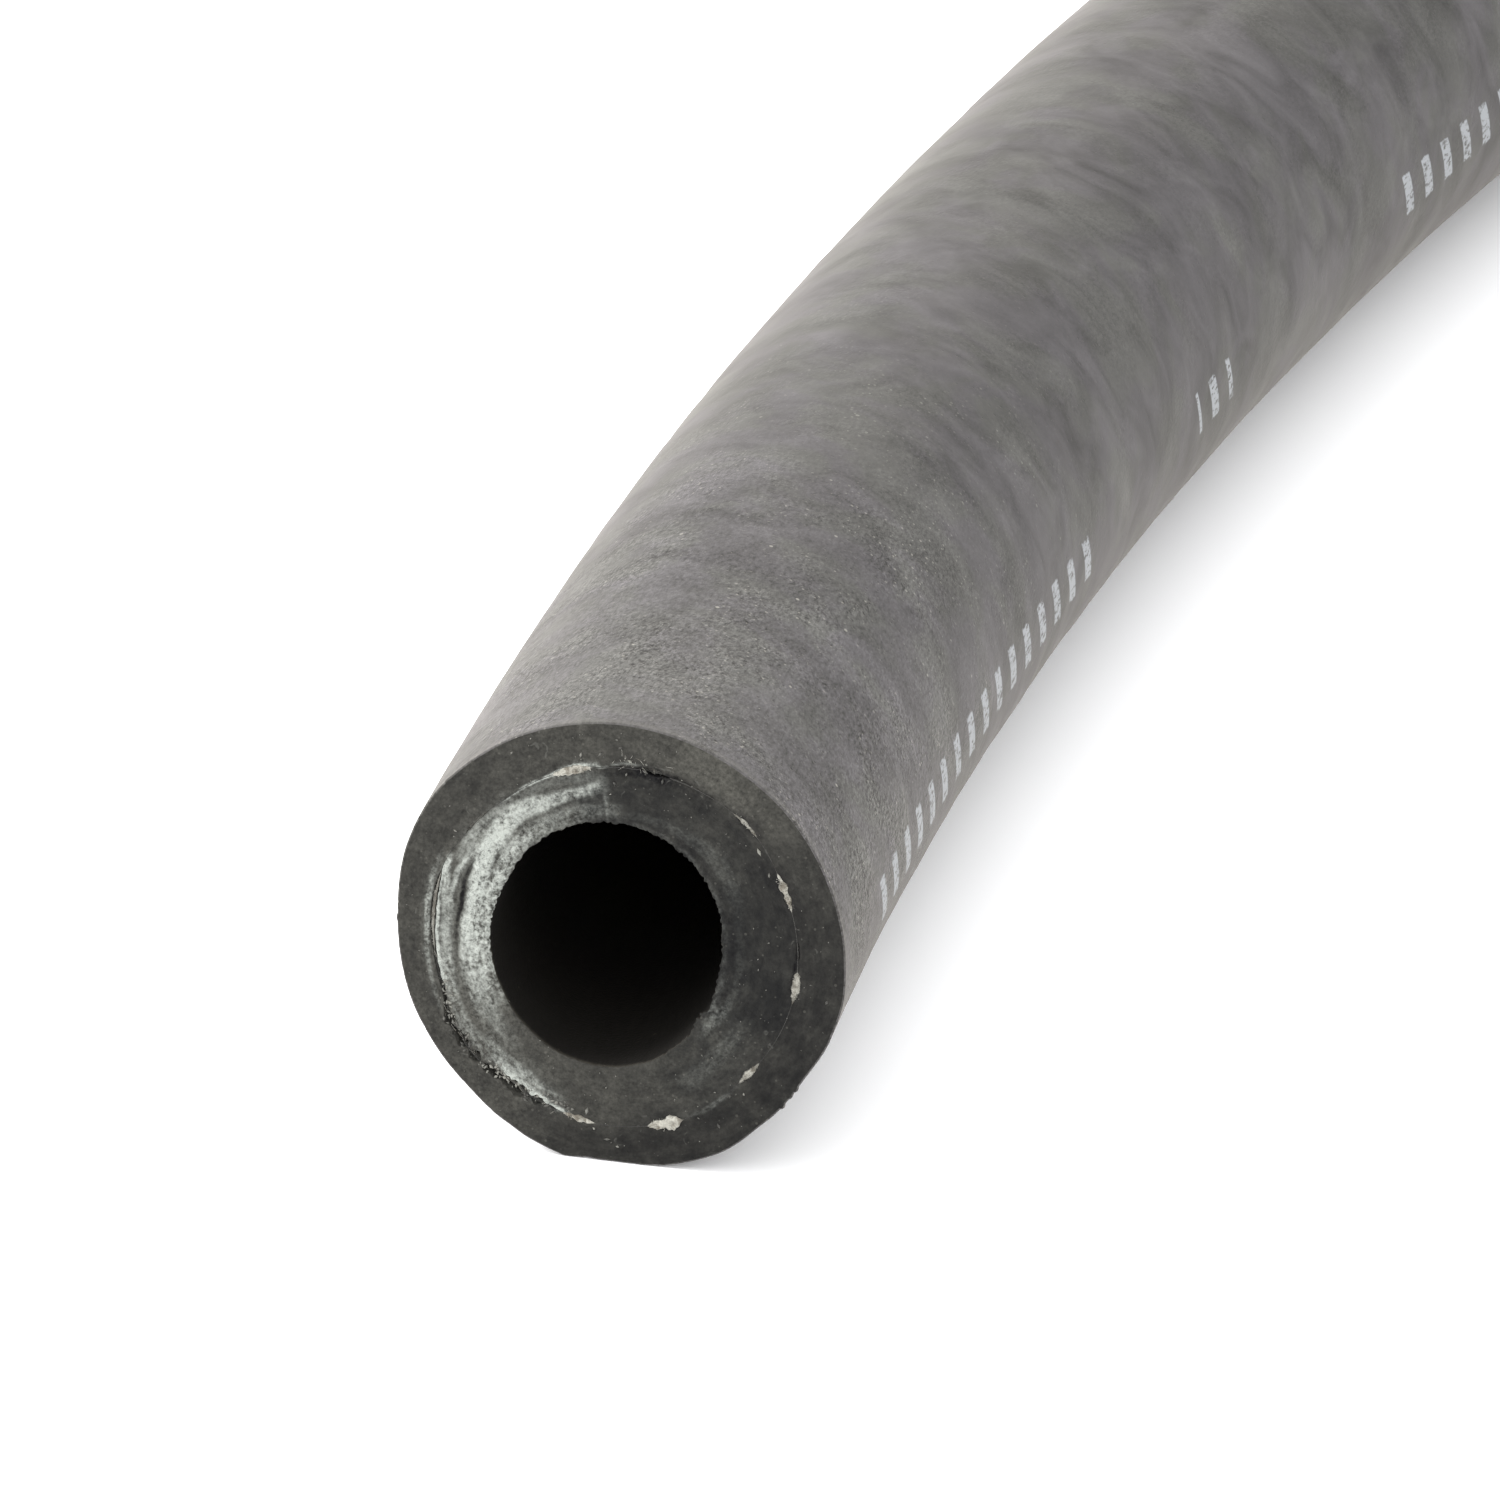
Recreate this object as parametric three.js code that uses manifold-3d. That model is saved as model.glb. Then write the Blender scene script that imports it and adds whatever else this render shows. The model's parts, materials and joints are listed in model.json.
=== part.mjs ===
// A length of crankcase breather hose, cut from stock and lying on a level surface.
// It is built up as the real one is: a rubber inner tube, yarn laid over it, and a rubber cover.
// Millimetres, +Z up. The hose runs from its near end at -X to its far end at +X, and bends gently
// to the right on the way. The origin is the middle of its box, on the surface that it lies on.
import * as THREE from "three";
import { mergeVertices } from "three/addons/utils/BufferGeometryUtils.js";
import Module from "manifold-3d";

// Driving dimensions
const HOSE_LENGTH = 305; // along the centreline, from cut end to cut end
const BEND_RADIUS = 569; // of the centreline
const BORE_DIAMETER = 12;
const BORE_OFFSET = 0.65; // of the bore's middle to the left of the hose's, as the near end is seen
const TUBE_WALL = 2.5; // of the inner tube under a yarn, if the bore had no offset
const COVER_WALL = 1.9; // over a yarn
const YARN_COUNT = 12; // round the hose
const YARN_WIDTH = 1.65; // round the hose
const YARN_CROWN_WIDTH = 1; // of a yarn's flattened inside and outside
const YARN_THICKNESS = 0.6; // across the hose's wall
const BOND_THICKNESS = 0.2; // of the reinforcement between two yarns
const NEAR_CUT_YAW = THREE.MathUtils.degToRad(6.3); // how far the near end's face is turned left
const NEAR_CUT_PITCH = THREE.MathUtils.degToRad(3.3); // and how far it is tipped upwards

// How finely the round outlines and the bend are divided
const OUTLINE_SIDES = 32;
const BEND_STEPS = 18;

const boreRadius = BORE_DIAMETER / 2;
const tubeRadius = boreRadius + TUBE_WALL;
const yarnMiddleRadius = tubeRadius + YARN_THICKNESS / 2;
const hoseRadius = tubeRadius + YARN_THICKNESS + COVER_WALL;

// The stock starts this far before the near end, so that the slanting cut crosses all of it
const CUT_MARGIN = 1;
const cutAllowance = CUT_MARGIN + hoseRadius * (Math.tan(NEAR_CUT_YAW) + Math.tan(NEAR_CUT_PITCH));

// How far the hose turns between its middle and either end
const halfTurn = HOSE_LENGTH / 2 / BEND_RADIUS;

// A point of the centreline, by its distance along the hose from the near end
function centrePoint(distance, target = new THREE.Vector3()) {
  const turn = distance / BEND_RADIUS - halfTurn;
  return target.set(BEND_RADIUS * Math.sin(turn), BEND_RADIUS * (Math.cos(turn) - 1), 0);
}

class StockCentreline extends THREE.Curve {
  getPoint(share, target) {
    return centrePoint(-cutAllowance + share * (HOSE_LENGTH + cutAllowance), target);
  }
}

// Outlines of a cross-section: x is down and y is left, as the near end is seen
function outlinePoint(radius, angle) {
  return new THREE.Vector2(radius * Math.cos(angle), radius * Math.sin(angle));
}

function roundOutline(radius, leftOffset = 0) {
  const corners = [];
  for (let side = 0; side < OUTLINE_SIDES; side++) {
    const corner = outlinePoint(radius, (2 * Math.PI * side) / OUTLINE_SIDES);
    corner.y += leftOffset;
    corners.push(corner);
  }
  return corners;
}

// The reinforcement's inside (face -1) or outside (face 1), which stands out at each yarn. Straight
// down, where the hose rests, is midway between two yarns.
function yarnOutline(face) {
  const crownRadius = yarnMiddleRadius + (face * YARN_THICKNESS) / 2;
  const bondRadius = yarnMiddleRadius + (face * BOND_THICKNESS) / 2;
  const halfCrown = YARN_CROWN_WIDTH / 2 / yarnMiddleRadius;
  const halfYarn = YARN_WIDTH / 2 / yarnMiddleRadius;
  const corners = [];
  for (let yarn = 0; yarn < YARN_COUNT; yarn++) {
    const angle = (2 * Math.PI * (yarn + 0.5)) / YARN_COUNT;
    corners.push(
      outlinePoint(bondRadius, angle - halfYarn),
      outlinePoint(crownRadius, angle - halfCrown),
      outlinePoint(crownRadius, angle + halfCrown),
      outlinePoint(bondRadius, angle + halfYarn),
    );
  }
  return corners;
}

// One layer of the stock, between two outlines, swept along the centreline
function sweptLayer(outside, inside) {
  const section = new THREE.Shape(outside);
  section.holes.push(new THREE.Path(inside));
  return new THREE.ExtrudeGeometry(section, { steps: BEND_STEPS, extrudePath: new StockCentreline() });
}

// What the cut takes away: a block whose +X face crosses the start of the centreline at its slant
function offcut() {
  const size = 4 * (hoseRadius + cutAllowance);
  const block = new THREE.BoxGeometry(size, size, size);
  block.translate(-size / 2, 0, 0);
  block.rotateY(NEAR_CUT_PITCH);
  block.rotateZ(halfTurn - NEAR_CUT_YAW);
  const start = centrePoint(0);
  return block.translate(start.x, start.y, start.z);
}

const wasm = await Module();
wasm.setup();

function toSolid(geometry) {
  const bare = geometry.clone();
  bare.deleteAttribute("normal");
  bare.deleteAttribute("uv");
  const merged = mergeVertices(bare);
  const mesh = new wasm.Mesh({
    numProp: 3,
    vertProperties: merged.attributes.position.array,
    triVerts: new Uint32Array(merged.index.array),
  });
  return new wasm.Manifold(mesh);
}

function toGeometry(solid) {
  const mesh = solid.getMesh();
  const indexed = new THREE.BufferGeometry();
  indexed.setAttribute("position", new THREE.BufferAttribute(mesh.vertProperties, 3));
  indexed.setIndex(new THREE.BufferAttribute(mesh.triVerts, 1));
  const faceted = indexed.toNonIndexed();
  faceted.computeVertexNormals();
  return faceted;
}

function hosePiece(name, layer, finish) {
  const cut = toGeometry(toSolid(layer).subtract(toSolid(offcut())));
  const piece = new THREE.Mesh(cut, new THREE.MeshStandardMaterial({ metalness: 0, ...finish }));
  piece.name = name;
  return piece;
}

function innerTube() {
  const layer = sweptLayer(yarnOutline(-1), roundOutline(boreRadius, BORE_OFFSET));
  return hosePiece("inner_tube", layer, { color: 0x35383b, roughness: 0.7 });
}

function textileReinforcement() {
  const layer = sweptLayer(yarnOutline(1), yarnOutline(-1));
  return hosePiece("textile_reinforcement", layer, { color: 0xc9c2ab, roughness: 0.95 });
}

function outerCover() {
  const layer = sweptLayer(roundOutline(hoseRadius), yarnOutline(1));
  return hosePiece("outer_cover", layer, { color: 0x6f6e6f, roughness: 0.8 });
}

const hose = new THREE.Group();
hose.add(innerTube(), textileReinforcement(), outerCover());

// Sets the hose down on the surface, with its box centred over the origin
const box = new THREE.Box3().setFromObject(hose);
const middle = box.getCenter(new THREE.Vector3());
hose.position.set(-middle.x, -middle.y, -box.min.z);

export default hose;
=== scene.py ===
import json
import math

import bpy
import numpy as np
from mathutils import Matrix, Vector


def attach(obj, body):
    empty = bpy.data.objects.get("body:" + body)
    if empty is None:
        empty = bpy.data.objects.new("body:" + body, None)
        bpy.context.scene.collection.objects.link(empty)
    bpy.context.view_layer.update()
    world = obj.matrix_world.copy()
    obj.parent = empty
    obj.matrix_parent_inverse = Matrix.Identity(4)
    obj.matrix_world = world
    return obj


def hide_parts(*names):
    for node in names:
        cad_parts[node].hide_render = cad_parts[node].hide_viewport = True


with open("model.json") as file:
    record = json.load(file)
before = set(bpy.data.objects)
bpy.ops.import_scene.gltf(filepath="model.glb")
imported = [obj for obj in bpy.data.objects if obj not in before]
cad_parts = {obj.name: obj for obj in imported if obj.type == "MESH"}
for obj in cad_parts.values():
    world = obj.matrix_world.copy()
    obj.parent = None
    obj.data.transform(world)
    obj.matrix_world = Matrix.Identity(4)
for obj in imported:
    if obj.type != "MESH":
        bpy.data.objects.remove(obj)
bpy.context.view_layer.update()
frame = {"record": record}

# Sizes that the CAD model has too, in millimetres and radians
HOSE_LENGTH = 305.0
BEND_RADIUS = 569.0
HOSE_RADIUS = 11.0
BORE_RADIUS = 6.0
BORE_OFFSET = 0.65
YARN_MIDDLE_RADIUS = 8.8
YARN_WIDTH = 1.65
YARN_THICKNESS = 0.6
YARN_COUNT = 12
NEAR_CUT_YAW = math.radians(6.3)
NEAR_CUT_PITCH = math.radians(3.3)
HALF_TURN = HOSE_LENGTH / 2 / BEND_RADIUS

# The camera, as it fits the photograph
IMAGE_SIZE = (1500, 1501)
FOCAL_PIXELS = 14641
CAMERA_DISTANCE = 0.689
CAMERA_SIDE_TURN = math.radians(10.2)
CAMERA_ELEVATION = math.radians(22)
NEAR_CENTRE_PIXEL = (619, 943)

MM = 0.001
UP = Vector((0, 0, 1))


def far_end_centre():
    mount = next(m for m in frame["record"]["mounts"] if m["name"] == "far_end_face")
    return Vector((mount["pos_m"][0], mount["pos_m"][1], HOSE_RADIUS * MM))


BEND_CENTRE = far_end_centre() - BEND_RADIUS * MM * Vector((math.sin(HALF_TURN), math.cos(HALF_TURN), 0))


def bend(points):
    """Points given as (right, up, along) the straightened hose, in mm, as places in the frame."""
    right, up, along = np.asarray(points, float).T
    turn = along / BEND_RADIUS - HALF_TURN
    radius = (BEND_RADIUS - right) * MM
    return np.stack(
        [
            BEND_CENTRE.x + radius * np.sin(turn),
            BEND_CENTRE.y + radius * np.cos(turn),
            BEND_CENTRE.z + up * MM,
        ],
        axis=1,
    )


def make_camera():
    heading = HALF_TURN + CAMERA_SIDE_TURN
    level = Vector((math.cos(heading), math.sin(heading), 0))
    right = level.cross(UP)
    forward = level * math.cos(CAMERA_ELEVATION) - UP * math.sin(CAMERA_ELEVATION)
    up = right.cross(forward)
    near_centre = Vector(bend([(0, 0, 0)])[0])
    pixel = CAMERA_DISTANCE / FOCAL_PIXELS
    aside = (NEAR_CENTRE_PIXEL[0] - IMAGE_SIZE[0] / 2) * pixel
    above = (IMAGE_SIZE[1] / 2 - NEAR_CENTRE_PIXEL[1]) * pixel
    place = near_centre - forward * CAMERA_DISTANCE - right * aside - up * above
    data = bpy.data.cameras.new("photo_camera")
    data.sensor_width = 36
    data.sensor_fit = "HORIZONTAL"
    data.lens = data.sensor_width * FOCAL_PIXELS / IMAGE_SIZE[0]
    data.clip_start = 0.01
    data.clip_end = 20
    camera = bpy.data.objects.new("photo_camera", data)
    camera.matrix_world = Matrix.Translation(place) @ Matrix((right, up, -forward)).transposed().to_4x4()
    bpy.context.scene.collection.objects.link(camera)
    bpy.context.scene.camera = camera
    return right, near_centre


CAMERA_RIGHT, NEAR_CENTRE = make_camera()


# Noise and smooth curves


def fade(share):
    share = np.clip(share, 0, 1)
    return share * share * (3 - 2 * share)


def ramp(value, low, high):
    return fade((np.asarray(value, float) - low) / (high - low))


def lattice(x, y, z, seed):
    mixed = (x * 73856093) ^ (y * 19349663) ^ (z * 83492791) ^ (seed * 50331653)
    mixed = ((mixed ^ (mixed >> 13)) * 1274126177) & 0xFFFFFFFF
    mixed = ((mixed ^ (mixed >> 15)) * 668265263) & 0xFFFFFFFF
    return ((mixed ^ (mixed >> 16)) & 0xFFFF) / 32767.5 - 1


def noise(x, y, z, seed, octaves=1):
    """Smooth noise from about -1 to 1, with cells one unit wide."""
    total = 0
    size = 1.0
    for octave in range(octaves):
        px, py, pz = (np.asarray(c, float) * 2**octave for c in np.broadcast_arrays(x, y, z))
        ix, iy, iz = (np.floor(c).astype(np.int64) for c in (px, py, pz))
        fx, fy, fz = fade(px - ix), fade(py - iy), fade(pz - iz)
        value = 0
        for dx in (0, 1):
            for dy in (0, 1):
                for dz in (0, 1):
                    weight = (fx if dx else 1 - fx) * (fy if dy else 1 - fy) * (fz if dz else 1 - fz)
                    value = value + weight * lattice(ix + dx, iy + dy, iz + dz, seed + octave)
        total = total + value * size
        size *= 0.5
    return total


def round_curve(degrees, stops):
    """A smooth closed curve through (angle, value) stops, read at these angles."""
    angles, values = (np.array(c, float) for c in zip(*sorted(stops)))
    angles = np.append(angles, angles[0] + 360)
    values = np.append(values, values[0])
    degrees = (np.asarray(degrees, float) - angles[0]) % 360 + angles[0]
    place = np.clip(np.searchsorted(angles, degrees, side="right") - 1, 0, len(angles) - 2)
    share = fade((degrees - angles[place]) / (angles[place + 1] - angles[place]))
    return values[place] + (values[place + 1] - values[place]) * share


def apart(degrees, middle):
    """How far these angles are from the middle one, from -180 to 180."""
    return (degrees - middle + 180) % 360 - 180


# The shapes seen at the near cut: angles in degrees from the right, radii in mm

OUTLINE = [
    (2, 11.02), (-8, 11.06), (-19, 10.95), (-33, 10.76), (-48, 10.88), (-64, 11.15), (-76, 11.12),
    (-90, 10.95), (-97, 11.0), (-104, 11.27), (-112, 11.2), (-120, 11.08), (-134, 10.92),
    (-147, 10.94), (-158, 10.97),
    (180, 10.92), (160, 11.08), (148, 11.1), (125, 10.98), (90, 10.86), (60, 10.9), (30, 10.98),
]
BOND_RADIUS = [
    (-75, 9.08), (-42, 8.62), (-7, 8.7), (23, 8.76), (45, 8.98), (76, 8.78), (97, 8.66), (112, 8.62),
    (129, 8.58), (148, 8.82), (162, 9.1), (186, 9.15), (200, 9.2), (211, 9.6), (222, 9.58), (236, 9.3),
    (250, 9.18), (262, 9.22),
]
# Yarn ends: angle, half width and half thickness in mm, depth below the cut, how bright
YARN_ENDS = [
    (-102, 0.75, 0.15, 0.0, 1.0),
    (-75, 0.85, 0.29, -0.03, 1.0),
    (-42, 0.72, 0.18, 0.03, 0.75),
    (-8.5, 0.8, 0.2, 0.07, 0.7),
    (23, 0.95, 0.17, 0.0, 0.85),
    (47, 0.75, 0.1, 0.02, 0.6),
    (79, 0.7, 0.14, 0.3, 0.15),
    (106, 1.0, 0.15, -0.04, 1.0),
    (143, 0.8, 0.04, 0.1, 0.4),
    (176, 1.9, 0.045, 0.03, 0.55),
    (-151, 1.2, 0.07, 0.4, 0.2),
    (-127, 1.0, 0.07, 0.35, 0.25),
]
# Marks on the cut end: strokes through (angle, radius, half width, strength) stops
# SWOOSH is a painted sheen: light off the glossy, slanted facets of the tube's cut, drawn as light colour
SWOOSH = [
    (97, 7.75, 0.36, 0.3), (101, 7.62, 0.34, 0.5), (107, 7.5, 0.32, 0.62), (119, 7.5, 0.48, 0.55),
    (131, 7.8, 0.6, 0.74), (142, 7.55, 0.66, 0.92), (152, 7.5, 0.6, 1.0), (161, 7.25, 0.5, 1.0),
    (170, 7.12, 0.6, 1.0), (181, 7.12, 0.76, 0.95), (189, 7.22, 0.84, 0.85), (197, 7.3, 0.88, 0.72),
    (205, 7.4, 0.9, 0.5), (215, 7.62, 0.8, 0.3), (228, 7.81, 0.7, 0.14),
]
OUTER_BAND = [
    (160, 8.98, 0.16, 0.7), (166, 8.74, 0.26, 0.58), (175, 8.45, 0.42, 0.44), (185, 8.5, 0.42, 0.46),
    (192, 8.6, 0.4, 0.54), (199, 8.72, 0.34, 0.5), (206, 8.9, 0.4, 0.36), (214, 9.0, 0.44, 0.34),
    (226, 8.95, 0.4, 0.3), (234, 8.85, 0.34, 0.22),
]
CRACK_EDGE = [
    (162, 9.06, 0.1, 0.9), (173, 8.93, 0.1, 0.9), (185, 8.92, 0.1, 1.0), (198, 9.0, 0.15, 1.0),
    (201, 9.0, 0.1, 0.4),
]
# ARC and ARC_TAIL are a painted highlight where light catches the tube's raised lip
ARC = [
    (130, 8.56, 0.03, 0.6), (118, 8.58, 0.06, 0.85), (111, 8.64, 0.1, 1.0), (103, 8.78, 0.15, 1.0),
    (100, 8.74, 0.13, 0.8),
]
ARC_TAIL = [(100, 8.72, 0.07, 0.55), (96, 8.64, 0.05, 0.5), (92, 8.8, 0.05, 0.55), (86, 8.95, 0.05, 0.5)]
LOW_STREAK = [
    (228, 8.9, 0.12, 0.5), (235, 8.95, 0.2, 0.9), (241, 8.98, 0.24, 1.0), (246, 9.0, 0.2, 1.0),
    (252, 9.06, 0.1, 0.8),
]
LOW_GLOW = [(222, 8.5, 0.4, 0.34), (229, 8.55, 0.45, 0.46), (239, 8.6, 0.5, 0.5), (250, 8.75, 0.4, 0.3)]
LOW_SMEAR = [(-28, 7.0, 0.4, 0.06), (-40, 6.9, 0.6, 0.13), (-52, 7.1, 0.6, 0.13), (-64, 7.4, 0.6, 0.1)]
BOND_DUST = [(-50, 8.75, 0.14, 0.1), (-58, 8.85, 0.16, 0.24), (-66, 8.95, 0.12, 0.12)]
BORE_FUZZ = [
    (94, 6.05, 0.14, 0.1), (65, 5.85, 0.17, 0.15), (32, 5.5, 0.18, 0.16), (0, 5.15, 0.18, 0.13),
    (-32, 5.3, 0.2, 0.2),
]
LEFT_WISP = [(150, 8.1, 0.2, 0.5), (158, 8.3, 0.2, 0.6), (168, 8.35, 0.22, 0.5), (178, 8.3, 0.2, 0.35)]
BORE_GRAIN = [
    (88, 6.35, 0.25, 0.08), (66, 6.5, 0.35, 0.12), (48, 6.6, 0.6, 0.12), (34, 6.4, 0.7, 0.1),
    (12, 5.95, 0.35, 0.06),
    (-20, 5.85, 0.3, 0.12), (-30, 5.75, 0.4, 0.22), (-40, 5.7, 0.4, 0.24), (-46, 5.8, 0.3, 0.1),
]
UPPER_BAND = [
    (156, 8.6, 0.3, 0.3), (146, 8.4, 0.42, 0.42), (136, 8.3, 0.42, 0.34), (124, 8.25, 0.36, 0.2),
    (111, 8.28, 0.32, 0.2), (97, 8.2, 0.36, 0.22),
]
BORE_FRINGE = [
    (92, 6.55, 0.5, 0.16), (117, 6.5, 0.6, 0.32), (134, 6.6, 0.6, 0.5), (146, 6.5, 0.55, 0.66),
    (158, 6.4, 0.5, 0.85),
    (176, 6.35, 0.5, 0.9), (196, 6.4, 0.5, 0.62), (214, 6.6, 0.5, 0.22),
]
OUTER_FRINGE = [
    (160, 9.4, 0.16, 0.25), (174, 9.44, 0.2, 0.55), (182, 9.4, 0.18, 0.55), (192, 9.52, 0.16, 0.34),
    (204, 9.7, 0.14, 0.2),
]
RADIAL_MARK = [(93.6, 6.9, 0.7, 0.0), (95.8, 6.7, 0.85, 0.3), (97.6, 6.9, 0.7, 0.0)]
# The white strokes mix whitened rubber and dust with painted sheen and highlights
WHITE_STROKES = [
    SWOOSH, OUTER_BAND, CRACK_EDGE, ARC, ARC_TAIL, LOW_STREAK, LOW_GLOW, UPPER_BAND, BORE_FRINGE,
    OUTER_FRINGE, RADIAL_MARK, BORE_FUZZ, LEFT_WISP, LOW_SMEAR, BOND_DUST, BORE_GRAIN,
]
# The dark strokes are partly painted shade, in the groove, the yarn's hollow and beside the bore, and
# partly the torn rubber's own dark colour in TORN_PATCH; all are also sunk into the cut
GROOVE = [
    (156, 7.9, 0.1, 0.5), (163, 7.86, 0.14, 0.9), (172, 7.8, 0.16, 1.0), (183, 7.98, 0.13, 0.8),
    (194, 8.12, 0.1, 0.2),
]
TORN_PATCH = [
    (50, 8.85, 0.14, 0.2), (60, 8.8, 0.3, 0.4), (70, 8.7, 0.4, 0.6), (77, 8.65, 0.45, 0.85),
    (84, 8.6, 0.45, 0.9),
    (90, 8.5, 0.35, 0.7), (97, 8.4, 0.25, 0.5),
]
YARN_HOLLOW = [(-7, 8.5, 0.1, 0.7), (-1, 8.58, 0.12, 1.0), (4, 8.68, 0.07, 0.8)]
BORE_SHADE = [
    (80, 6.2, 0.3, 0.25), (60, 6.1, 0.3, 0.4), (30, 5.75, 0.34, 0.5), (0, 5.4, 0.38, 0.55),
    (-25, 5.45, 0.3, 0.4),
]
DARK_STROKES = [GROOVE, TORN_PATCH, YARN_HOLLOW, BORE_SHADE]
STROKE_END = 5.0
HALO_STRENGTH = 0.26
BORE_MIDDLE = (-BORE_OFFSET, -0.18)
BORE_EDGE = [
    (7, 5.7), (28, 6.02), (48, 6.15), (71, 6.2), (90, 6.08), (113, 5.92), (130, 5.76), (150, 5.52),
    (187, 5.71), (207, 5.79), (225, 5.95), (249, 6.1), (271, 6.09), (287, 6.0), (318, 5.75), (349, 5.58),
]


def polar(right, up):
    return np.degrees(np.arctan2(up, right)), np.hypot(right, up)


def cartesian(radius, degrees):
    turn = np.radians(degrees)
    return radius * np.cos(turn), radius * np.sin(turn)


def stroke(degrees, radius, stops):
    """How strongly a stroke covers these places, from 0 to 1."""
    angles, radii, widths, strengths = np.array(sorted(stops), float).T
    middle = (angles[0] + angles[-1]) / 2
    place = middle + apart(degrees, middle)
    across = np.abs(radius - np.interp(place, angles, radii)) / np.interp(place, angles, widths)
    beyond = np.maximum(angles[0] - place, place - angles[-1])
    core = 1 - ramp(across, 0.3, 1.35)
    halo = HALO_STRENGTH * (1 - ramp(across, 0.6, 3.0))
    return np.interp(place, angles, strengths) * np.maximum(core, halo) * (1 - ramp(beyond, 0, STROKE_END))


def strokes(right, up, drawn):
    """The strongest of several strokes, a little unsteady as a hand-cut edge is."""
    wander = 0.05 * noise(right * 1.3, up * 1.3, 0, 33, 3)
    degrees, radius = polar(right, up)
    return np.max([stroke(degrees, radius + wander, stops) for stops in drawn], axis=0)


def whitening_and_sheen(right, up):
    """How light the cut end is painted, from 0 to 1: partly whitened rubber and dust, partly a painted
    sheen and highlight where its facets would catch the light.
    """
    return np.clip(strokes(right, up, WHITE_STROKES) * (1 - 0.7 * strokes(right, up, DARK_STROKES)), 0, 1)


def hollow(right, up):
    """How deep the dark marks are sunk into the cut, in mm."""
    return strokes(right, up, DARK_STROKES) * (0.08 + 0.12 * noise(right * 4, up * 4, 0, 57, 3))


def grit(right, up):
    """How grainy the whitened and sheen-painted rubber is: most beside the bore, and where the layers came
    apart.
    """
    degrees, radius = polar(right, up)
    from_bore = np.hypot(right - BORE_MIDDLE[0], up - BORE_MIDDLE[1]) - BORE_RADIUS
    beside_bore = 1 - ramp(from_bore, 0.15, 1.1)
    low_left = (1 - ramp(np.abs(apart(degrees, 213)), 8, 28)) * ramp(radius, 7.2, 8.4)
    outside = ramp(radius - round_curve(degrees, BOND_RADIUS), 0.05, 0.15)
    return np.clip(0.3 + 0.8 * np.maximum(np.maximum(beside_bore, low_left), 0.8 * outside), 0, 1)


def near_share(along, reach):
    """1 at the near cut, falling to 0 at this distance from it."""
    return 1 - ramp(along, 0, reach)


def slant(right, up):
    """How far along the hose the near cut lies here."""
    return -right * math.tan(NEAR_CUT_YAW) + up * math.tan(NEAR_CUT_PITCH)


def from_cut(right, up, along):
    """How far along the hose from the near cut, whose slant fades out."""
    return along - slant(right, up) * near_share(along, SLANT_FADE)


# Skin of the cover

SKIN_RADIUS = 10.93
RIPPLE_PITCH = 2.2
RIPPLE_HEIGHT = 0.045
RIPPLES_START, RIPPLES_FULL = 8.0, 55.0
OUTLINE_FADE = 28.0


def ripples(degrees, along):
    """The low uneven bands that the wrapping left round the cover, from about -1 to 1."""
    turn = np.radians(degrees)
    east, north = np.cos(turn), np.sin(turn)
    warp = 0.9 * noise(east * 1.6, north * 1.6, along / 9, 3) + 0.5 * east
    bands = noise(east * 2.1, north * 2.1, along / RIPPLE_PITCH + warp, 5)
    broad = noise(east * 1.9, north * 1.9, along / (2.3 * RIPPLE_PITCH) + warp, 7)
    return 0.65 * bands + 0.75 * broad


# Torn points on the rim: angle, height in mm
BURRS = [(-42, 0.1), (-38.5, 0.06), (-36, 0.07), (180, 0.05), (140, 0.04)]
BURR_REACH = 0.5


def burr(degrees):
    """Small torn points that the knife left standing on the rim."""
    total = 0
    for angle, height in BURRS:
        total = total + height * (1 - ramp(np.abs(apart(degrees, angle)), 0.2, 1.1))
    return total


def skin_radius(degrees, along):
    turn = np.radians(degrees)
    east, north = np.cos(turn) * HOSE_RADIUS, np.sin(turn) * HOSE_RADIUS
    cut = round_curve(degrees, OUTLINE)
    settled = SKIN_RADIUS + (cut - SKIN_RADIUS) * near_share(along, OUTLINE_FADE)
    strength = RIPPLE_HEIGHT * (0.25 + 0.75 * ramp(along, RIPPLES_START, RIPPLES_FULL))
    far = 1 - ramp(along, HOSE_LENGTH - 2, HOSE_LENGTH)
    uneven = 0.02 * noise(east / 5, north / 5, along / 12, 11, 2)
    relief = (strength * ripples(degrees, along) + uneven) * far
    return settled + relief + burr(degrees) * near_share(along, BURR_REACH)


class RingMesh:
    """A closed mesh made of rings of points, each joined to the next and the last to the first.

    Points are (right, up, along) in mm. The rings run up the outside of the wall from the near end
    and back down its inside, and each starts at the bottom and goes anticlockwise as seen from there.
    """

    def __init__(self):
        self.rings = []
        self.materials = []

    def flat_ring(self, flat, along, material):
        """A ring through these (right, up) places."""
        self.rings.append(np.column_stack([flat, np.broadcast_to(along, len(flat))]))
        self.materials.append(material)

    def ring(self, radius, along, degrees, material):
        self.flat_ring(np.stack(cartesian(radius, degrees), axis=1), along, material)

    def slanted_ring(self, radius, along, degrees, material):
        """A ring that leans as the near cut does, less and less away from it."""
        lean = slant(*cartesian(radius, degrees)) * near_share(along, SLANT_FADE)
        self.ring(radius, along + lean, degrees, material)

    def points(self):
        return np.concatenate(self.rings)

    def faces(self):
        starts = np.cumsum([0] + [len(r) for r in self.rings])
        faces, materials = [], []
        for i, (ring, material) in enumerate(zip(self.rings, self.materials)):
            j = (i + 1) % len(self.rings)
            between = stitch(starts[i], len(ring), starts[j], len(self.rings[j]))
            faces.extend(between)
            materials.extend([material] * len(between))
        return faces, materials


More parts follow.
